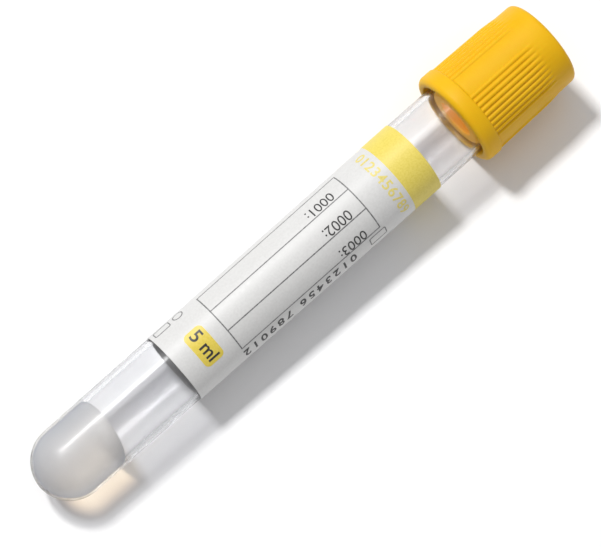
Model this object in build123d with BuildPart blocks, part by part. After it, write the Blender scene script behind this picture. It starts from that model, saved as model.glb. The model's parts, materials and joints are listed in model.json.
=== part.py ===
"""Closed blood collection tube with a gel plug, a paper label and a ribbed pull cap, lying on its side.

Every length along the tube is measured from the tip of its round end. Every turn about the tube's axis
is measured from the upper side, by the right-hand rule about the axis that points to the cap.
"""

from build123d import *
from math import asin, atan2, cos, degrees, hypot, pi, sin
import os

# Tube: one clear moulding with a round end, slightly wider at its mouth
tube_length = 100.0
mouth_radius = 6.5
dome_radius = 6.18
tube_wall = 1.0

# Gel plug in the round end, with a leaning upper surface
gel_level = 13.1
gel_lean = 16.0
gel_high_side_turn = -14.0
gel_dome_facets = 4

# Paper label, wrapped round the tube, with its edges overlapping in a seam on the underside
label_start = 28.0
label_length = 51.0
label_thickness = 0.12
label_turn = 1.0
label_overlap = 5.0

# Print on the label: a coloured band at its cap end, a writing frame of rows and a volume patch
ink_thickness = 0.03
band_width = 5.5
frame_start = 37.5
frame_length = 29.3
frame_rows = 3
row_height = 4.16
line_width = 0.2
patch_start = 31.4
patch_length = 3.7
patch_height = 6.5
patch_turn = 14.4
patch_corner = 0.7

# Cap: a tapered shell with a beaded rim, ribs in groups and a round port in its top
skirt_depth = 12.4
skirt_gap = 0.45
rim_radius = 8.55
rim_length = 3.0
rim_round = 1.0
rim_round_facets = 3
body_start_radius = 8.12
body_end_radius = 7.84
top_wall = 1.5
top_round = 0.8
top_round_facets = 2
port_radius = 4.2

# Ribs of the cap, which fade out towards its top
rib_groups = 4
ribs_per_group = 10
rib_pitch = 6.4
rib_foot_width = 0.68
rib_crest_width = 0.26
rib_height = 0.22
rib_sink = 0.15
rib_length = 13.0
rib_fade_length = 2.6
first_group_turn = 33.2

# Rubber stopper, held in the cap: a flange over the tube's mouth and a ringed plug inside it
seat_gap = 0.05
flange_height = 5.95
stopper_side_gap = 0.02
plug_length = 12.0
plug_gap = 0.04
seal_rings = 2
seal_ring_length = 4.0
seal_groove_depth = 0.3
plug_cup_radius = 3.3
plug_cup_depth = 8.5
well_radius = 3.4
well_depth = 3.1

# Positions along the tube that follow from the sizes above
rim_start = tube_length - skirt_depth
rim_end = rim_start + rim_length
flange_start = tube_length + seat_gap
flange_end = flange_start + flange_height
overall_length = flange_end + top_wall
plug_end = flange_start - plug_length
label_end = label_start + label_length
body_end = overall_length - top_round
skirt_bore_radius = mouth_radius + skirt_gap

# The tube rests on its round end and on the round of the cap's rim, so its axis leans by this angle
rest_run = rim_start + rim_round - dome_radius
rest_rise = rim_radius - rim_round
lean = atan2(rest_rise, rest_run) - asin((dome_radius - rim_round) / hypot(rest_run, rest_rise))

along = Vector(cos(lean), 0, sin(lean))
upward = Vector(-sin(lean), 0, cos(lean))
tip = Vector(-overall_length / 2 * cos(lean), 0, dome_radius * (1 - sin(lean)))
tube_axis = Axis(tip, along)
across = Plane(origin=tip, x_dir=upward, z_dir=along)


def side_plane(turn):
    """Plane through the axis: local x runs towards the cap, local y is the radius at this turn."""
    return Plane(origin=tip, x_dir=along, z_dir=Vector(0, -1, 0).rotate(tube_axis, turn))


def tube_radius(place):
    """Outer radius of the tube's straight part at a place along it."""
    share = (place - dome_radius) / (tube_length - dome_radius)
    return dome_radius + (mouth_radius - dome_radius) * share


def bore_radius(place):
    """Inner radius of the tube's straight part at a place along it."""
    return tube_radius(place) - tube_wall


def paper_radius(place):
    """Radius of the label's printed face at a place along the tube."""
    return tube_radius(place) + label_thickness


def cap_body_radius(place):
    """Radius of the cap's tapered body at a place along the tube."""
    share = (place - rim_end) / (overall_length - rim_end)
    return body_start_radius + (body_end_radius - body_start_radius) * share


def turn_of(arc_length, radius):
    """Angle in degrees that an arc of this length takes at this radius."""
    return degrees(arc_length / radius)


def quarter_round(place, radius, size, way, facets):
    """Corners of a rounded edge in flat facets, from its end face outwards, about a centre (place, radius).

    way is -1 for a round that faces the tube's round end and 1 for one that faces the cap's top.
    """
    angles = [pi / 2 * step / facets for step in range(facets + 1)]
    return [(place + way * size * cos(angle), radius + size * sin(angle)) for angle in angles]


def layer_profile(start, end, inner, thickness):
    """Outline of a thin layer that lies on the radius given by the function inner."""
    Bezier((start, inner(start)), (end, inner(end)))
    Line((end, inner(end)), (end, inner(end) + thickness))
    Bezier((end, inner(end) + thickness), (start, inner(start) + thickness))
    Line((start, inner(start) + thickness), (start, inner(start)))


# --- tube ---------------------------------------------------------------------------------------------
with BuildPart() as tube:
    with BuildSketch(side_plane(0)):
        with BuildLine():
            CenterArc((dome_radius, 0), dome_radius, 90, 90)
            Bezier((dome_radius, dome_radius), (tube_length, mouth_radius))
            Line((tube_length, mouth_radius), (tube_length, mouth_radius - tube_wall))
            Bezier((tube_length, mouth_radius - tube_wall), (dome_radius, dome_radius - tube_wall))
            CenterArc((dome_radius, 0), dome_radius - tube_wall, 90, 90)
            Line((tube_wall, 0), (0, 0))
        make_face()
    revolve(axis=tube_axis)
tube.part.label = "tube"

# --- gel plug -----------------------------------------------------------------------------------------
gel_column = gel_level + dome_radius
gel_surface_normal = along.rotate(Axis(tip, side_plane(gel_high_side_turn).z_dir), -gel_lean)
with BuildPart() as gel_plug:
    with BuildSketch(side_plane(0)):
        with BuildLine():
            Polyline(
                *quarter_round(dome_radius, 0, dome_radius - tube_wall, -1, gel_dome_facets),
                (gel_column, dome_radius - tube_wall),
                (gel_column, 0),
                close=True,
            )
        make_face()
    revolve(axis=tube_axis)
    split(bisect_by=Plane(origin=tip + along * gel_level, z_dir=gel_surface_normal), keep=Keep.BOTTOM)
gel_plug.part.label = "gel_plug"

# --- label --------------------------------------------------------------------------------------------
seam_turn = label_turn + 180
overlap_turn = turn_of(label_overlap, paper_radius(label_start))
with BuildPart() as label:
    with BuildSketch(side_plane(seam_turn)):
        with BuildLine():
            layer_profile(label_start, label_end, tube_radius, label_thickness)
        make_face()
    revolve(axis=tube_axis)
    with BuildSketch(side_plane(seam_turn - overlap_turn / 2)):
        with BuildLine():
            layer_profile(label_start, label_end, paper_radius, label_thickness)
        make_face()
    revolve(axis=tube_axis, revolution_arc=overlap_turn)
label.part.label = "label"

# --- print on the label -------------------------------------------------------------------------------
with BuildPart() as label_band:
    with BuildSketch(side_plane(seam_turn + overlap_turn / 2)):
        with BuildLine():
            layer_profile(label_end - band_width, label_end, paper_radius, ink_thickness)
        make_face()
    revolve(axis=tube_axis, revolution_arc=360 - overlap_turn)
label_band.part.label = "label_band"

frame_end = frame_start + frame_length
row_turn = turn_of(row_height, paper_radius(frame_start))
line_turn = turn_of(line_width, paper_radius(frame_start))
frame_turn = frame_rows * row_turn + line_turn
with BuildPart() as writing_frame:
    for row in range(frame_rows + 1):
        with BuildSketch(side_plane(label_turn - frame_turn / 2 + row * row_turn)):
            with BuildLine():
                layer_profile(frame_start, frame_end, paper_radius, ink_thickness)
            make_face()
        revolve(axis=tube_axis, revolution_arc=line_turn)
    for line_start in (frame_start, frame_end - line_width):
        with BuildSketch(side_plane(label_turn - frame_turn / 2)):
            with BuildLine():
                layer_profile(line_start, line_start + line_width, paper_radius, ink_thickness)
            make_face()
        revolve(axis=tube_axis, revolution_arc=frame_turn)
writing_frame.part.label = "writing_frame"

patch_end = patch_start + patch_length
patch_plane = Plane(
    origin=tip + along * (patch_start + patch_length / 2),
    x_dir=along,
    z_dir=side_plane(patch_turn).y_dir,
)
with BuildPart() as volume_patch:
    with BuildSketch(side_plane(patch_turn - 90)):
        with BuildLine():
            Polyline(
                (patch_start, paper_radius(patch_start)),
                (patch_end, paper_radius(patch_end)),
                (patch_end, paper_radius(patch_end) + ink_thickness),
                (patch_start, paper_radius(patch_start) + ink_thickness),
                close=True,
            )
        make_face()
    revolve(axis=tube_axis, revolution_arc=180)
    with BuildSketch(patch_plane) as patch_outline:
        Rectangle(patch_length, patch_height)
        chamfer(patch_outline.vertices(), length=patch_corner)
    extrude(amount=2 * mouth_radius, mode=Mode.INTERSECT)
volume_patch.part.label = "volume_patch"

# --- one rib of the cap, standing upright at turn 0 ---------------------------------------------------
rib_end = rim_end + rib_length
fade_start = rib_end - rib_fade_length
rib_way = Vector(body_end_radius - body_start_radius, 0, overall_length - rim_end)
fade_rise = cap_body_radius(fade_start) + rib_height - cap_body_radius(rib_end)
with BuildPart() as rib:
    with BuildSketch(Plane.XY.offset(rim_end)):
        with BuildLine():
            foot = cap_body_radius(rim_end) - rib_sink
            crest = cap_body_radius(rim_end) + rib_height
            Polyline(
                (foot, -rib_foot_width / 2),
                (crest, -rib_crest_width / 2),
                (crest, rib_crest_width / 2),
                (foot, rib_foot_width / 2),
                close=True,
            )
        make_face()
    extrude(amount=rib_length, dir=rib_way)
    split(
        bisect_by=Plane(origin=(cap_body_radius(rib_end), 0, rib_end), z_dir=(rib_fade_length, 0, fade_rise)),
        keep=Keep.BOTTOM,
    )

# --- cap ----------------------------------------------------------------------------------------------
rim_corners = quarter_round(rim_start + rim_round, rim_radius - rim_round, rim_round, -1, rim_round_facets)
top_corners = quarter_round(body_end, cap_body_radius(body_end) - top_round, top_round, 1, top_round_facets)
group_span = (ribs_per_group - 1) * rib_pitch
with BuildPart(across) as cap:
    with BuildSketch(side_plane(0)):
        with BuildLine():
            Polyline(
                (rim_start, skirt_bore_radius),
                *rim_corners,
                (rim_end, rim_radius),
                (rim_end, cap_body_radius(rim_end)),
                *reversed(top_corners),
                (overall_length, port_radius),
                (flange_end, port_radius),
                (flange_end, skirt_bore_radius),
                close=True,
            )
        make_face()
    revolve(axis=tube_axis)
    for group in range(rib_groups):
        group_turn = first_group_turn + group * 360 / rib_groups
        with PolarLocations(0, ribs_per_group, group_turn - group_span / 2, group_span, endpoint=True):
            add(rib.part)
cap.part.label = "cap"

# --- rubber stopper -----------------------------------------------------------------------------------
flange_radius = skirt_bore_radius - stopper_side_gap
plug_radius = bore_radius(plug_end) - plug_gap
groove_radius = plug_radius - seal_groove_depth
ring_pitch = (plug_length - seal_ring_length) / (seal_rings - 1)
groove_corners = []
for ring in range(seal_rings - 1):
    groove_start = plug_end + ring * ring_pitch + seal_ring_length
    groove_end = plug_end + (ring + 1) * ring_pitch
    groove_corners += [
        (groove_start, plug_radius),
        (groove_start, groove_radius),
        (groove_end, groove_radius),
        (groove_end, plug_radius),
    ]
with BuildPart() as rubber_stopper:
    with BuildSketch(side_plane(0)):
        with BuildLine():
            Polyline(
                (plug_end + plug_cup_depth, 0),
                (plug_end + plug_cup_depth, plug_cup_radius),
                (plug_end, plug_cup_radius),
                (plug_end, plug_radius),
                *groove_corners,
                (flange_start, plug_radius),
                (flange_start, flange_radius),
                (flange_end, flange_radius),
                (flange_end, well_radius),
                (flange_end - well_depth, well_radius),
                (flange_end - well_depth, 0),
                close=True,
            )
        make_face()
    revolve(axis=tube_axis)
rubber_stopper.part.label = "rubber_stopper"

os.makedirs("parts", exist_ok=True)
for piece in (tube, gel_plug, label, label_band, writing_frame, volume_patch, cap, rubber_stopper):
    export_step(piece.part, f"parts/{piece.part.label}.step")
print(f"axis leans {degrees(lean):.3f} degrees, overall length {overall_length:.2f}")
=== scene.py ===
"""Closed blood collection tube: clear tube, gel plug, paper label, ribbed pull cap and rubber stopper.

Pieces are drawn in millimetres in the tube's own directions: x runs from the tip of the round end towards
the cap, and z is the upper side. Turns about x are in degrees from the upper side. piece() then lays each
one down where the CAD has it.
"""

import json
import math

import bmesh
import bpy
from mathutils import Matrix, Vector


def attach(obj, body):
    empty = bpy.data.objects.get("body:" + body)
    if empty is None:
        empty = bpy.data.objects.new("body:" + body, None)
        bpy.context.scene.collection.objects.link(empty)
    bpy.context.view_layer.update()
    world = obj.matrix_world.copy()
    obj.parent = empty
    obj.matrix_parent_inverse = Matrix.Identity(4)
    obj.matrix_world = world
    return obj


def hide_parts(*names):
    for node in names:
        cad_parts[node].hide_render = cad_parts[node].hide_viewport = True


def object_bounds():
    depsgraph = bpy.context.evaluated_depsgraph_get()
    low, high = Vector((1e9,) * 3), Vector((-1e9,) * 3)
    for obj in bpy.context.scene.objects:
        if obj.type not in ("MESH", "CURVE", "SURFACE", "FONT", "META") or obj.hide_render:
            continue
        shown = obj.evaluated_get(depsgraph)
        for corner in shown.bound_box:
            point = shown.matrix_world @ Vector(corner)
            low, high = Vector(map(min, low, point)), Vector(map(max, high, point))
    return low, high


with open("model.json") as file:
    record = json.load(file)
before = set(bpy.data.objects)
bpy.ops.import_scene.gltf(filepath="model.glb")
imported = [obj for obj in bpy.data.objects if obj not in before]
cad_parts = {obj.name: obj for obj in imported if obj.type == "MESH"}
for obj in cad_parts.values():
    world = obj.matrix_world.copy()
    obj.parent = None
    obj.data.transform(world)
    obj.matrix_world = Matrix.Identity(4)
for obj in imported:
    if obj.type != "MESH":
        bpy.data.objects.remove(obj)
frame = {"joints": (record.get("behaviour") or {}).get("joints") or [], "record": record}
cad_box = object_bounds()

# Sizes in millimetres and turns in degrees, as in the CAD. START and END are places along the tube.
TUBE_LENGTH = 100.0
MOUTH_RADIUS = 6.5
DOME_RADIUS = 6.18
TUBE_WALL = 1.0
MOUTH_ROUNDING = 0.3
GEL_LEVEL = 13.1
GEL_LEAN = 16.0
GEL_HIGH_SIDE = -14.0
GEL_HOLLOW = 0.55
LABEL_START = 28.0
LABEL_END = 79.0
LABEL_THICKNESS = 0.12
LABEL_TURN = 1.0
LABEL_OVERLAP = 5.0
INK = 0.02
BAND_WIDTH = 5.5
FRAME_START = 37.5
FRAME_LENGTH = 29.3
FRAME_END = FRAME_START + FRAME_LENGTH
ROWS = 3
ROW_HEIGHT = 4.16
PATCH_MIDDLE = 33.25
PATCH_TURN = 14.4
PATCH_LENGTH = 3.7
PATCH_HEIGHT = 6.5
RIM_START = 87.6
RIM_END = 90.6
RIM_RADIUS = 8.55
BORE_OF_SKIRT = 6.95
BODY_START_RADIUS = 8.12
BODY_END_RADIUS = 7.84
OVERALL = 107.5
FLANGE_START = 100.05
FLANGE_END = 106.0
PORT_RADIUS = 4.2
PORT_WALL_MIDDLE = 106.75
PLUG_END = 88.05
CUP_RADIUS = 3.3
CUP_DEPTH = 8.5
WELL_RADIUS = 3.4
WELL_DEPTH = 3.1

along = Vector(frame["joints"][0]["axis"]).normalized()
port = next(m for m in frame["record"]["mounts"] if m["name"] == "needle_port")
tip = Vector(port["pos_m"]) - along * PORT_WALL_MIDDLE / 1000
sideways = Vector((0, 1, 0))
upper = along.cross(sideways)
tube_directions = Matrix((along, sideways, upper)).transposed().to_4x4()
LYING = Matrix.Translation(tip) @ tube_directions @ Matrix.Scale(0.001, 4)


def tube_radius(place):
    """Outer radius of the tube's straight part, which widens towards the mouth."""
    share = (place - DOME_RADIUS) / (TUBE_LENGTH - DOME_RADIUS)
    return DOME_RADIUS + (MOUTH_RADIUS - DOME_RADIUS) * share


def bore_radius(place):
    """Inner radius of the tube's straight part."""
    return tube_radius(place) - TUBE_WALL


def paper_radius(place):
    """Radius of the label's printed face."""
    return tube_radius(place) + LABEL_THICKNESS


def body_radius(place):
    """Outer radius of the cap's body, without its ribs."""
    share = (place - RIM_END) / (OVERALL - RIM_END)
    return BODY_START_RADIUS + (BODY_END_RADIUS - BODY_START_RADIUS) * share


# --- making pieces -------------------------------------------------------------------------------------
SAME_POINT = 1e-4


def turned(corners, steps=144, start=0.0, arc=360.0):
    """A solid turned about the axis from a closed outline of (place, radius, rounding, segments) corners."""
    bm = bmesh.new()
    points = [bm.verts.new((place, 0, radius)) for place, radius, *_ in corners]
    bm.faces.new(points)
    for point, (_, _, rounding, segments) in zip(points, corners):
        if rounding:
            bmesh.ops.bevel(
                bm, geom=[point], offset=rounding, offset_type="OFFSET", affect="VERTICES",
                segments=segments, profile=0.5, material=-1, clamp_overlap=False,
            )
    bmesh.ops.delete(bm, geom=bm.faces[:], context="FACES_ONLY")
    if arc == 360:
        on_axis = [e for e in bm.edges if all(abs(v.co.z) < SAME_POINT for v in e.verts)]
        bmesh.ops.delete(bm, geom=on_axis, context="EDGES")
    bmesh.ops.remove_doubles(bm, verts=bm.verts[:], dist=SAME_POINT)
    to_start = Matrix.Rotation(math.radians(start), 3, "X")
    bmesh.ops.rotate(bm, verts=bm.verts[:], cent=(0, 0, 0), matrix=to_start)
    first = bm.edges[:]
    made = bmesh.ops.spin(
        bm, geom=bm.verts[:] + first, cent=(0, 0, 0), axis=(1, 0, 0),
        angle=math.radians(arc), steps=steps, use_merge=arc == 360,
    )
    if arc < 360:
        last = [e for e in made["geom_last"] if isinstance(e, bmesh.types.BMEdge)]
        bmesh.ops.contextual_create(bm, geom=first)
        bmesh.ops.contextual_create(bm, geom=last)
    bmesh.ops.remove_doubles(bm, verts=bm.verts[:], dist=SAME_POINT)
    bmesh.ops.recalc_face_normals(bm, faces=bm.faces[:])
    return bm


def layer(start, end, inner, thickness, steps=144, turn=0.0, arc=360.0):
    """A thin layer that lies on the radius given by the function inner."""
    return turned(
        [
            (start, inner(start), 0, 0),
            (end, inner(end), 0, 0),
            (end, inner(end) + thickness, 0, 0),
            (start, inner(start) + thickness, 0, 0),
        ],
        steps, turn, arc,
    )


def joined(*parts):
    """One mesh from several."""
    bm = bmesh.new()
    for part in parts:
        mesh = bpy.data.meshes.new("part")
        part.to_mesh(mesh)
        part.free()
        bm.from_mesh(mesh)
        bpy.data.meshes.remove(mesh)
    return bm


def piece(name, bm, material, body, nodes=(), sharp=35):
    """Lays the mesh down where the CAD has it and makes it a piece of that body, in place of those nodes."""
    bmesh.ops.transform(bm, matrix=LYING, verts=bm.verts[:])
    mesh = bpy.data.meshes.new(name)
    bm.to_mesh(mesh)
    bm.free()
    mesh.shade_smooth()
    mesh.set_sharp_from_angle(angle=math.radians(sharp))
    mesh.materials.append(material)
    obj = bpy.data.objects.new(name, mesh)
    bpy.context.scene.collection.objects.link(obj)
    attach(obj, body)
    if nodes:
        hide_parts(*nodes)
    return obj


def wrapped(bm, place, turn, grid=0.35):
    """Wraps a flat mesh round the label: its x runs along the tube, its y round it, its z stands off."""
    ys = [v.co.y for v in bm.verts]
    y = math.floor(min(ys) / grid) * grid
    while y < max(ys):
        everything = bm.verts[:] + bm.edges[:] + bm.faces[:]
        bmesh.ops.bisect_plane(bm, geom=everything, plane_co=(0, y, 0), plane_no=(0, 1, 0), dist=1e-5)
        y += grid
    bmesh.ops.dissolve_degenerate(bm, edges=bm.edges[:], dist=SAME_POINT)
    for v in bm.verts:
        there = place + v.co.x
        radius = paper_radius(there) + v.co.z
        angle = math.radians(turn) - v.co.y / paper_radius(place)
        v.co = (there, -radius * math.sin(angle), radius * math.cos(angle))
    return bm


# --- materials -----------------------------------------------------------------------------------------
# Sockets of a Mix node that mixes colours
SHARE, FIRST, SECOND = 0, 6, 7
RESULT = 2


def mottle_group():
    """Node group: patches of two colours and two roughnesses, with a finer grain in relief."""
    group = bpy.data.node_groups.new("mottle", "ShaderNodeTree")
    for name, kind, value in (
        ("Place", "NodeSocketVector", None),
        ("Patch Scale", "NodeSocketFloat", 200.0),
        ("First Colour", "NodeSocketColor", (0.8, 0.8, 0.8, 1)),
        ("Second Colour", "NodeSocketColor", (0.9, 0.9, 0.9, 1)),
        ("First Roughness", "NodeSocketFloat", 0.4),
        ("Second Roughness", "NodeSocketFloat", 0.5),
        ("Grain Scale", "NodeSocketFloat", 1000.0),
        ("Grain Height", "NodeSocketFloat", 0.00001),
    ):
        socket = group.interface.new_socket(name, in_out="INPUT", socket_type=kind)
        if value is not None:
            socket.default_value = value
    for name, kind in (
        ("Colour", "NodeSocketColor"),
        ("Roughness", "NodeSocketFloat"),
        ("Normal", "NodeSocketVector"),
    ):
        group.interface.new_socket(name, in_out="OUTPUT", socket_type=kind)
    add, link = group.nodes.new, group.links.new
    given, made = add("NodeGroupInput"), add("NodeGroupOutput")
    patches, grain = add("ShaderNodeTexNoise"), add("ShaderNodeTexNoise")
    for noise, scale, detail in ((patches, "Patch Scale", 4.0), (grain, "Grain Scale", 3.0)):
        noise.inputs["Detail"].default_value = detail
        link(given.outputs["Place"], noise.inputs["Vector"])
        link(given.outputs[scale], noise.inputs["Scale"])
    share = add("ShaderNodeMapRange")
    share.inputs["From Min"].default_value = 0.35
    share.inputs["From Max"].default_value = 0.65
    link(patches.outputs["Fac"], share.inputs["Value"])
    colour = add("ShaderNodeMix")
    colour.data_type = "RGBA"
    link(share.outputs["Result"], colour.inputs[SHARE])
    link(given.outputs["First Colour"], colour.inputs[FIRST])
    link(given.outputs["Second Colour"], colour.inputs[SECOND])
    link(colour.outputs[RESULT], made.inputs["Colour"])
    roughness = add("ShaderNodeMapRange")
    link(share.outputs["Result"], roughness.inputs["Value"])
    link(given.outputs["First Roughness"], roughness.inputs["To Min"])
    link(given.outputs["Second Roughness"], roughness.inputs["To Max"])
    link(roughness.outputs["Result"], made.inputs["Roughness"])
    relief = add("ShaderNodeBump")
    link(given.outputs["Grain Height"], relief.inputs["Distance"])
    link(grain.outputs["Fac"], relief.inputs["Height"])
    link(relief.outputs["Normal"], made.inputs["Normal"])
    return group


mottle = mottle_group()


class Look:
    """A material whose shader takes its colour, roughness and normal from the mottle group."""

    def __init__(
        self, name, first, second, roughness, patch_scale, grain_scale, grain_height, **shader_values
    ):
        self.material = bpy.data.materials.new(name)
        self.material.use_nodes = True
        self.tree = self.material.node_tree
        self.shader = self.tree.nodes["Principled BSDF"]
        self.place = self.add("ShaderNodeTexCoord").outputs["Object"]
        self.mottled = self.add("ShaderNodeGroup", node_tree=mottle)
        self.link(self.place, self.mottled.inputs["Place"])
        for socket, value in (
            ("Patch Scale", patch_scale),
            ("First Colour", (*first, 1)),
            ("Second Colour", (*second, 1)),
            ("First Roughness", roughness[0]),
            ("Second Roughness", roughness[1]),
            ("Grain Scale", grain_scale),
            ("Grain Height", grain_height),
        ):
            self.mottled.inputs[socket].default_value = value
        self.link(self.mottled.outputs["Colour"], self.shader.inputs["Base Color"])
        self.link(self.mottled.outputs["Roughness"], self.shader.inputs["Roughness"])
        self.link(self.mottled.outputs["Normal"], self.shader.inputs["Normal"])
        for socket, value in shader_values.items():
            self.shader.inputs[socket.replace("_", " ")].default_value = value

    def add(self, kind, **values):
        node = self.tree.nodes.new(kind)
        for name, value in values.items():
            setattr(node, name, value)
        return node

    def link(self, output, node_input):
        self.tree.links.new(output, node_input)

    def ramp(self, factor, *stops):
        """Colours at places from 0 to 1 along a value."""
        node = self.add("ShaderNodeValToRGB")
        ramp = node.color_ramp
        while len(ramp.elements) < len(stops):
            ramp.elements.new(0.5)
        for element, (position, colour) in zip(ramp.elements, stops):
            element.position = position
            element.color = (*colour, 1)
        self.link(factor, node.inputs["Fac"])
        return node.outputs["Color"]

    def times(self, first, second):
        """Two colours multiplied."""
        node = self.add("ShaderNodeMix", data_type="RGBA", blend_type="MULTIPLY")
        node.inputs[SHARE].default_value = 1.0
        self.link(first, node.inputs[FIRST])
        self.link(second, node.inputs[SECOND])
        return node.outputs[RESULT]

    def between(self, share, first, second):
        """One colour going over into another."""
        node = self.add("ShaderNodeMix", data_type="RGBA")
        self.link(share, node.inputs[SHARE])
        self.link(first, node.inputs[FIRST])
        self.link(second, node.inputs[SECOND])
        return node.outputs[RESULT]

    def along_tube(self, start, end, low=0.0, high=1.0):
        """A value that goes from low to high between two places along the tube."""
        parts = self.add("ShaderNodeSeparateXYZ")
        self.link(self.place, parts.inputs["Vector"])
        node = self.add("ShaderNodeMapRange")
        for name, value in (
            ("From Min", tip.x + start / 1000),
            ("From Max", tip.x + end / 1000),
            ("To Min", low),
            ("To Max", high),
        ):
            node.inputs[name].default_value = value
        self.link(parts.outputs["X"], node.inputs["Value"])
        return node.outputs["Result"]

    def facing(self):
        """0 where a surface is met straight on, 1 at its edge."""
        return self.add("ShaderNodeLayerWeight").outputs["Facing"]

    def shade_light(self, shadow_colour):
        """Lets light fall through a clear piece, tinted by a colour. What is seen of it is the shader's."""
        through = self.add("ShaderNodeBsdfTransparent")
        self.link(shadow_colour, through.inputs["Color"])
        ray = self.add("ShaderNodeLightPath")
        lighting = self.add("ShaderNodeMath", operation="MAXIMUM")
        self.link(ray.outputs["Is Shadow Ray"], lighting.inputs[0])
        self.link(ray.outputs["Is Diffuse Ray"], lighting.inputs[1])
        mix = self.add("ShaderNodeMixShader")
        self.link(lighting.outputs["Value"], mix.inputs["Fac"])
        self.link(self.shader.outputs["BSDF"], mix.inputs[1])
        self.link(through.outputs["BSDF"], mix.inputs[2])
        self.link(mix.outputs["Shader"], self.tree.nodes["Material Output"].inputs["Surface"])


WHITE = (1.0, 1.0, 1.0)
CRINKLES_START = 5.0
CRINKLES_FULL = 0.5
CRINKLE_HEIGHT = 0.00025


def clear_plastic():
    """Clear plastic, crinkled at the round end, with painted shade: darker where its wall is seen from the
    side.
    """
    m = Look(
        "clear_plastic", (0.96, 0.965, 0.975), (0.985, 0.985, 0.99), roughness=(0.12, 0.18),
        patch_scale=260, grain_scale=1100, grain_height=0.0,
        Transmission_Weight=1.0, IOR=1.12, Specular_IOR_Level=0.1, Coat_Weight=0.5, Coat_Roughness=0.5,
    )
    crinkles = m.along_tube(CRINKLES_START, CRINKLES_FULL, 0.0, CRINKLE_HEIGHT)
    m.link(crinkles, m.mottled.inputs["Grain Height"])
    # Painted shade: the colour darkens towards the edges, where the wall is seen from the side.
    edge = m.ramp(m.facing(), (0.0, WHITE), (0.5, (0.97, 0.97, 0.975)), (0.95, (0.62, 0.62, 0.64)))
    m.link(m.times(m.mottled.outputs["Colour"], edge), m.shader.inputs["Base Color"])
    wall = m.ramp(
        m.facing(), (0.0, (0.94, 0.94, 0.94)), (0.06, (0.86, 0.86, 0.865)), (0.35, (0.78, 0.78, 0.79)),
        (0.7, (0.64, 0.64, 0.65)), (1.0, (0.3, 0.3, 0.31)),
    )
    over_gel = m.ramp(
        m.facing(), (0.0, WHITE), (0.25, (0.95, 0.95, 0.95)), (0.5, (0.7, 0.7, 0.71)),
        (0.9, (0.3, 0.3, 0.31)),
    )
    m.shade_light(m.between(m.along_tube(GEL_LEVEL + 0.4, GEL_LEVEL + 1.4), over_gel, wall))
    return m.material


def cloudy_gel():
    """Cloudy gel that lets warm light through its middle; painted warm light there, painted cool shade at
    its edge.
    """
    m = Look(
        "cloudy_gel", (0.745, 0.775, 0.82), (0.795, 0.815, 0.845), roughness=(0.45, 0.6),
        patch_scale=140, grain_scale=420, grain_height=0.00001, Transmission_Weight=0.55, IOR=1.36,
    )
    # Painted light: warm in the middle as if lit through, with a darker, cooler painted shade at the edge.
    painted_warmth_and_edge_shade = m.ramp(
        m.facing(), (0.0, (1.0, 0.975, 0.945)), (0.35, (1.0, 0.99, 0.98)), (0.8, (0.88, 0.9, 0.94)),
    )
    m.link(m.times(m.mottled.outputs["Colour"], painted_warmth_and_edge_shade), m.shader.inputs["Base Color"])
    shadow = m.ramp(
        m.facing(), (0.0, (1.0, 0.93, 0.82)), (0.15, (0.97, 0.86, 0.71)), (0.4, (0.62, 0.54, 0.47)),
        (0.7, (0.3, 0.29, 0.28)),
    )
    m.shade_light(shadow)
    return m.material


def label_paper():
    """Matt white paper."""
    return Look(
        "label_paper", (0.63, 0.625, 0.61), (0.67, 0.665, 0.65), roughness=(0.42, 0.55),
        patch_scale=2600, grain_scale=900, grain_height=0.000006, Sheen_Weight=0.6, Sheen_Roughness=0.4,
    ).material


def print_ink(name, dark, light):
    """Printed ink, slightly uneven where the paper took less of it."""
    return Look(
        name, dark, light, roughness=(0.4, 0.55), patch_scale=3200, grain_scale=2400, grain_height=0.000003,
    ).material


def cap_plastic():
    """Yellow moulded plastic that light enters a little way."""
    return Look(
        "cap_plastic", (0.76, 0.42, 0.004), (0.79, 0.45, 0.007), roughness=(0.38, 0.5),
        patch_scale=140, grain_scale=1800, grain_height=0.000004, IOR=1.5, Specular_IOR_Level=0.16,
        Subsurface_Weight=0.15, Subsurface_Radius=(1.0, 0.5, 0.06), Subsurface_Scale=0.0015,
    ).material


def stopper_rubber():
    """Orange rubber with a faint painted glow, painted light that brightens it where it lies in the cap's
    shade.
    """
    return Look(
        "stopper_rubber", (0.86, 0.43, 0.03), (0.9, 0.48, 0.05), roughness=(0.5, 0.65),
        patch_scale=300, grain_scale=1500, grain_height=0.000005, Specular_IOR_Level=0.1,
        # Painted light: the emission makes the rubber glow though it is no lamp.
        Emission_Color=(1.0, 0.5, 0.03, 1), Emission_Strength=0.2,
    ).material


def white_card():
    """Pale matt card for the floor."""
    return Look(
        "white_card", (0.9, 0.9, 0.9), (0.92, 0.92, 0.92), roughness=(0.55, 0.65),
        patch_scale=8, grain_scale=600, grain_height=0.00001,
    ).material


clear = clear_plastic()
gel_look = cloudy_gel()
paper = label_paper()
yellow_ink = print_ink("yellow_ink", (0.72, 0.58, 0.09), (0.78, 0.64, 0.13))
patch_ink = print_ink("patch_ink", (0.7, 0.55, 0.06), (0.76, 0.6, 0.1))
pale_ink = print_ink("pale_ink", (0.7, 0.58, 0.14), (0.74, 0.64, 0.22))
grey_ink = print_ink("grey_ink", (0.08, 0.08, 0.08), (0.24, 0.24, 0.24))
black_ink = print_ink("black_ink", (0.012, 0.012, 0.012), (0.05, 0.05, 0.05))
cap_look = cap_plastic()
rubber = stopper_rubber()

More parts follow.
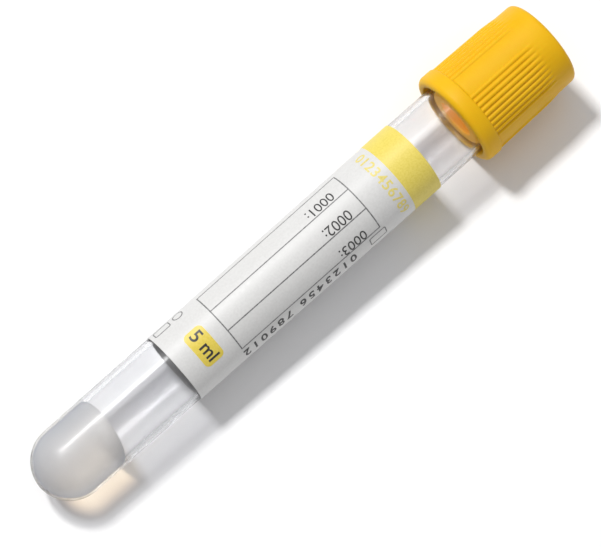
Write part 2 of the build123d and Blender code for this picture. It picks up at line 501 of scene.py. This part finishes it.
# --- tube ----------------------------------------------------------------------------------------------
tube = turned(
    [
        (0, 0, 0, 0),
        (0, DOME_RADIUS, DOME_RADIUS, 32),
        (TUBE_LENGTH, MOUTH_RADIUS, MOUTH_ROUNDING, 5),
        (TUBE_LENGTH, MOUTH_RADIUS - TUBE_WALL, MOUTH_ROUNDING, 5),
        (TUBE_WALL, DOME_RADIUS - TUBE_WALL, DOME_RADIUS - TUBE_WALL, 32),
        (TUBE_WALL, 0, 0, 0),
    ],
    steps=160,
)
piece("clear_tube", tube, clear, "tube_body", ["tube"])

# --- gel plug: it bites a little into the wall, and its top is hollow and leans ------------------------
GEL_BITE = 0.02
HOLLOW_POWER = 2.5
SLIGHT = 0.01
gel_radius = DOME_RADIUS - TUBE_WALL + GEL_BITE
gel = turned(
    [
        (TUBE_WALL - GEL_BITE, 0, 0, 0),
        (TUBE_WALL - GEL_BITE, gel_radius, gel_radius, 32),
        (GEL_LEVEL, bore_radius(GEL_LEVEL) + GEL_BITE, 0, 0),
        (GEL_LEVEL - GEL_HOLLOW, 0, 0, 0),
    ],
    steps=128,
)
spokes = [
    e for e in gel.edges
    if min(v.co.x for v in e.verts) > GEL_LEVEL - GEL_HOLLOW - SLIGHT
    and abs(e.verts[0].co.x - e.verts[1].co.x) > GEL_HOLLOW / 2
]
bmesh.ops.subdivide_edges(gel, edges=spokes, cuts=7)
high = Matrix.Rotation(math.radians(GEL_HIGH_SIDE), 3, "X") @ Vector((0, 0, 1))
for v in gel.verts:
    if v.co.x > (DOME_RADIUS + GEL_LEVEL) / 2:
        off_axis = math.hypot(v.co.y, v.co.z) / bore_radius(GEL_LEVEL)
        hollow = GEL_LEVEL - GEL_HOLLOW * (1 - off_axis ** HOLLOW_POWER)
        v.co.x = hollow + math.tan(math.radians(GEL_LEAN)) * v.co.dot(high)
piece("gel", gel, gel_look, "tube_body", ["gel_plug"])

# --- label, whose ends overlap on the lower side -------------------------------------------------------
LABEL_LIFT = 0.004
overlap_turn = math.degrees(LABEL_OVERLAP / paper_radius(LABEL_START))
seam_start = LABEL_TURN + 180 - overlap_turn / 2
seam_end = seam_start + overlap_turn


def glued_radius(place):
    """Radius of the label's glued face, just off the tube."""
    return tube_radius(place) + LABEL_LIFT


def seam_radius(place):
    """Radius of the printed face where the label lies double."""
    return paper_radius(place) + LABEL_THICKNESS


label = joined(
    layer(LABEL_START, LABEL_END, glued_radius, LABEL_THICKNESS - LABEL_LIFT, 160),
    layer(LABEL_START, LABEL_END, paper_radius, LABEL_THICKNESS, 12, seam_start, overlap_turn),
)
piece("paper_label", label, paper, "tube_body", ["label"])

# --- print: band and writing frame ---------------------------------------------------------------------
band_start = LABEL_END - BAND_WIDTH
band = joined(
    layer(band_start, LABEL_END, paper_radius, INK, 150, seam_end, 360 - overlap_turn),
    layer(band_start, LABEL_END, seam_radius, INK, 12, seam_start, overlap_turn),
)
piece("yellow_band", band, yellow_ink, "tube_body", ["label_band"])

LINE_TURN = 1.6
END_LINE = 0.2
row_turn = math.degrees(ROW_HEIGHT / paper_radius(FRAME_START))
frame_turn = LABEL_TURN - ROWS / 2 * row_turn
row_lines = [
    layer(
        FRAME_START + END_LINE, FRAME_END - END_LINE, paper_radius, INK, 3,
        frame_turn + row * row_turn, LINE_TURN,
    )
    for row in range(ROWS + 1)
]
end_lines = [
    layer(start, start + END_LINE, paper_radius, INK, 60, frame_turn, ROWS * row_turn + LINE_TURN)
    for start in (FRAME_START, FRAME_END - END_LINE)
]
piece("frame_lines", joined(*row_lines, *end_lines), grey_ink, "tube_body", ["writing_frame"])


# --- print: patch, figures and small marks, drawn flat and then wrapped round the label ----------------
def flat_patch(length, height, corner, segments=6):
    """A flat rounded rectangle with its middle at the origin, as thick as the ink."""
    bm = bmesh.new()
    bmesh.ops.create_grid(bm, x_segments=1, y_segments=1, size=0.5)
    bmesh.ops.scale(bm, vec=(length, height, 1), verts=bm.verts[:])
    bmesh.ops.bevel(
        bm, geom=bm.verts[:], offset=corner, offset_type="OFFSET", affect="VERTICES",
        segments=segments, profile=0.5, material=-1,
    )
    raised = bmesh.ops.extrude_face_region(bm, geom=bm.faces[:])["geom"]
    bmesh.ops.translate(bm, vec=(0, 0, INK), verts=[v for v in raised if isinstance(v, bmesh.types.BMVert)])
    bmesh.ops.recalc_face_normals(bm, faces=bm.faces[:])
    return bm


def outline(length, height, corner, segments, line=0.18):
    """The outline of a flat rounded rectangle with its middle at the origin, as wide as line."""
    bm = flat_patch(length, height, corner, segments)
    sides = [f for f in bm.faces if abs(f.normal.z) > 0.9]
    bmesh.ops.inset_individual(bm, faces=sides, thickness=line)
    middles = sorted((f for f in bm.faces if abs(f.normal.z) > 0.9), key=lambda f: -f.calc_area())[:2]
    bmesh.ops.bridge_loops(bm, edges=[e for f in middles for e in f.edges])
    bmesh.ops.delete(bm, geom=middles, context="FACES_ONLY")
    bmesh.ops.recalc_face_normals(bm, faces=bm.faces[:])
    return bm


def flat_words(words, height, turned_by=0.0, gap=1.0, weight=0.0):
    """Flat letters with their middle at the origin, reading along x when not turned.

    gap is the space from letter to letter, as a share of the usual one. weight makes the letters bolder.
    """
    curve = bpy.data.curves.new("words", "FONT")
    curve.body = words
    curve.size = height
    curve.align_x = "CENTER"
    curve.align_y = "CENTER"
    curve.extrude = INK / 2
    curve.offset = weight
    curve.space_character = gap
    curve.resolution_u = 4
    holder = bpy.data.objects.new("words", curve)
    bpy.context.scene.collection.objects.link(holder)
    bpy.context.view_layer.update()
    mesh = bpy.data.meshes.new_from_object(holder)
    bm = bmesh.new()
    bm.from_mesh(mesh)
    bpy.data.objects.remove(holder)
    bpy.data.curves.remove(curve)
    bpy.data.meshes.remove(mesh)
    bmesh.ops.remove_doubles(bm, verts=bm.verts[:], dist=SAME_POINT)
    bmesh.ops.translate(bm, vec=(0, 0, INK / 2), verts=bm.verts[:])
    to_reading_way = Matrix.Rotation(math.radians(turned_by), 3, "Z")
    bmesh.ops.rotate(bm, verts=bm.verts[:], cent=(0, 0, 0), matrix=to_reading_way)
    return bm


def wrapped_all(prints):
    """One mesh of several flat prints, each (mesh, place, turn, height above the paper)."""
    for bm, place, turn, lift in prints:
        bmesh.ops.translate(bm, vec=(0, 0, lift), verts=bm.verts[:])
        wrapped(bm, place, turn)
    return joined(*(bm for bm, *_ in prints))


patch = wrapped(flat_patch(PATCH_LENGTH, PATCH_HEIGHT, 0.9), PATCH_MIDDLE, PATCH_TURN)
piece("volume_field", patch, patch_ink, "tube_body", ["volume_patch"])

# Print reads either round the tube or from the cap towards the round end
ROUND_THE_TUBE = -90.0
FROM_THE_CAP = 180.0
ROW_NUMBERS_MIDDLE = 61.6
LOWER_LINE_TURN = 72.0
MARKS_TURN = -56.0
black_print = [(flat_words("5 ml", 3.1, ROUND_THE_TUBE, weight=0.04), PATCH_MIDDLE, PATCH_TURN, INK)]
for number, turn in (("0001:", -28.0), ("0002:", 10.0), ("0003:", 48.0)):
    black_print.append((flat_words(number, 2.5, FROM_THE_CAP), ROW_NUMBERS_MIDDLE, turn, 0))
number_line = flat_words("0123456 789012", 2.6, FROM_THE_CAP, gap=1.36, weight=0.05)
black_print.append((number_line, 49.3, LOWER_LINE_TURN, 0))
piece("figures", wrapped_all(black_print), black_ink, "tube_body")
small_marks = [
    (outline(3.2, 1.9, 0.4, 6), 30.3, MARKS_TURN, 0),
    (outline(2.0, 2.0, 0.95, 8), 33.6, MARKS_TURN, 0),
    (outline(3.4, 1.9, 0.3, 6), 65.8, LOWER_LINE_TURN, 0),
]
piece("small_marks", wrapped_all(small_marks), grey_ink, "tube_body")
pale_line = flat_words("0123456789", 2.5, ROUND_THE_TUBE, gap=1.1, weight=0.04)
piece("pale_figures", wrapped_all([(pale_line, 71.6, 10.0, 0)]), pale_ink, "tube_body")

# --- cap: turned shell whose side is raised into ribs --------------------------------------------------
RIB_GROUPS = 4
RIBS = 10
RIB_PITCH = 6.4
RIB_HEIGHT = 0.22
RIB_HALF_WIDTH = 0.34
FIRST_GROUP_TURN = 33.2
RIB_POWER = 0.65
FADE_POWER = 0.7
RIB_START = RIM_END - 0.2
FADE_START = 101.0
FADE_END = 103.8
FINE_STEPS = 900
cap = turned(
    [
        (RIM_START, BORE_OF_SKIRT, 0.35, 4),
        (RIM_START, RIM_RADIUS, 1.0, 8),
        (RIM_END, RIM_RADIUS, 0.35, 4),
        (RIM_END, body_radius(RIM_END), 0.3, 3),
        (FADE_START, body_radius(FADE_START), 0, 0),
        (FADE_END, body_radius(FADE_END), 0, 0),
        (OVERALL, BODY_END_RADIUS, 0.8, 8),
        (OVERALL, PORT_RADIUS, 0.4, 4),
        (FLANGE_END, PORT_RADIUS, 0, 0),
        (FLANGE_END, BORE_OF_SKIRT, 0.2, 2),
    ],
    steps=FINE_STEPS,
)
fading = [e for e in cap.edges if {round(v.co.x, 2) for v in e.verts} == {FADE_START, FADE_END}]
bmesh.ops.subdivide_edges(cap, edges=fading, cuts=8)
group_turn = 360 / RIB_GROUPS
last_rib = (RIBS - 1) / 2
for v in cap.verts:
    radius = math.hypot(v.co.y, v.co.z)
    if RIB_START < v.co.x < FADE_END and radius > BODY_END_RADIUS:
        turn = math.degrees(math.atan2(-v.co.y, v.co.z)) - FIRST_GROUP_TURN
        in_group = (turn + group_turn / 2) % group_turn - group_turn / 2
        rib = max(-last_rib, min(last_rib, math.floor(in_group / RIB_PITCH) + 0.5))
        off = math.radians(abs(in_group - rib * RIB_PITCH)) * radius / RIB_HALF_WIDTH
        rise = RIB_HEIGHT * max(0.0, 1 - off ** 2) ** RIB_POWER
        fade = min(1.0, max(0.0, (FADE_END - v.co.x) / (FADE_END - FADE_START)))
        target = body_radius(v.co.x) + rise * fade ** FADE_POWER
        if target > radius:
            v.co.y *= target / radius
            v.co.z *= target / radius
piece("ribbed_cap", cap, cap_look, "closure", ["cap"], sharp=50)

# --- rubber stopper: hollow plug with two seal rings, and a flange with the needle well ----------------
PLUG_GAP = 0.04
FLANGE_GAP = 0.02
PLUG_RADIUS = bore_radius(PLUG_END) - PLUG_GAP
FLANGE_RADIUS = BORE_OF_SKIRT - FLANGE_GAP
RING_LENGTH = 4.0
GROOVE_END = 8.0
GROOVE_DEPTH = 0.3
cup_floor = PLUG_END + CUP_DEPTH
well_floor = FLANGE_END - WELL_DEPTH
groove_radius = PLUG_RADIUS - GROOVE_DEPTH
stopper = turned(
    [
        (cup_floor, 0, 0, 0),
        (cup_floor, CUP_RADIUS, 0.8, 6),
        (PLUG_END, CUP_RADIUS, 0.3, 4),
        (PLUG_END, PLUG_RADIUS, 0.6, 5),
        (PLUG_END + RING_LENGTH, PLUG_RADIUS, 0.1, 2),
        (PLUG_END + RING_LENGTH + GROOVE_DEPTH, groove_radius, 0, 0),
        (PLUG_END + GROOVE_END - GROOVE_DEPTH, groove_radius, 0, 0),
        (PLUG_END + GROOVE_END, PLUG_RADIUS, 0.1, 2),
        (FLANGE_START, PLUG_RADIUS, 0, 0),
        (FLANGE_START, FLANGE_RADIUS, 0.2, 3),
        (FLANGE_END, FLANGE_RADIUS, 0.2, 3),
        (FLANGE_END, WELL_RADIUS, 0.3, 3),
        (well_floor, WELL_RADIUS, 0.6, 5),
        (well_floor, 0, 0, 0),
    ],
    steps=120,
)
piece("stopper", stopper, rubber, "closure", ["rubber_stopper"])

# --- floor, light and camera, in metres ----------------------------------------------------------------
FLOOR_SIZE = 3.0
ground = bmesh.new()
bmesh.ops.create_grid(ground, x_segments=1, y_segments=1, size=FLOOR_SIZE)
floor_mesh = bpy.data.meshes.new("floor")
ground.to_mesh(floor_mesh)
ground.free()
floor = bpy.data.objects.new("floor", floor_mesh)
bpy.context.scene.collection.objects.link(floor)
floor.data.materials.append(white_card())

middle = (cad_box[0] + cad_box[1]) / 2


def softbox(name, turn, distance, size, watts):
    """A square lamp that shines on the tube's middle from a turn about its axis."""
    lamp = bpy.data.lights.new(name, "AREA")
    lamp.shape = "RECTANGLE"
    lamp.size = size
    lamp.size_y = size
    lamp.energy = watts
    holder = bpy.data.objects.new(name, lamp)
    away = Matrix.Rotation(math.radians(turn), 3, along) @ upper
    holder.location = middle + away * distance
    holder.rotation_euler = away.to_track_quat("Z", "X").to_euler()
    bpy.context.scene.collection.objects.link(holder)


def studio(low_light, high_light):
    """A pale room whose light grows from the horizon upwards."""
    world = bpy.data.worlds.new("studio")
    world.use_nodes = True
    nodes, link = world.node_tree.nodes, world.node_tree.links.new
    background = nodes["Background"]
    background.inputs["Color"].default_value = (0.98, 0.98, 1.0, 1)
    way = nodes.new("ShaderNodeSeparateXYZ")
    light = nodes.new("ShaderNodeMapRange")
    light.inputs["To Min"].default_value = low_light
    light.inputs["To Max"].default_value = high_light
    link(nodes.new("ShaderNodeTexCoord").outputs["Generated"], way.inputs["Vector"])
    link(way.outputs["Z"], light.inputs["Value"])
    link(light.outputs["Result"], background.inputs["Strength"])
    return world


softbox("softbox", turn=-30.0, distance=0.8, size=0.1, watts=5.1)
bpy.context.scene.world = studio(low_light=0.26, high_light=0.62)
bpy.context.scene.view_settings.view_transform = "Standard"

camera_data = bpy.data.cameras.new("camera")
camera_data.lens = 166.58
camera_data.sensor_width = 36.0
camera = bpy.data.objects.new("camera", camera_data)
bpy.context.scene.collection.objects.link(camera)
camera_place = Vector((-0.0740424, -0.0787244, 0.4345314))
view_way = Vector((0.1648783, 0.17263544, -0.97108813))
view_up = Vector((0.65160267, 0.72004509, 0.23863997))
camera_turn = Matrix((view_way.cross(view_up), view_up, -view_way)).transposed()
camera.matrix_world = Matrix.Translation(camera_place) @ camera_turn.to_4x4()
bpy.context.scene.camera = camera
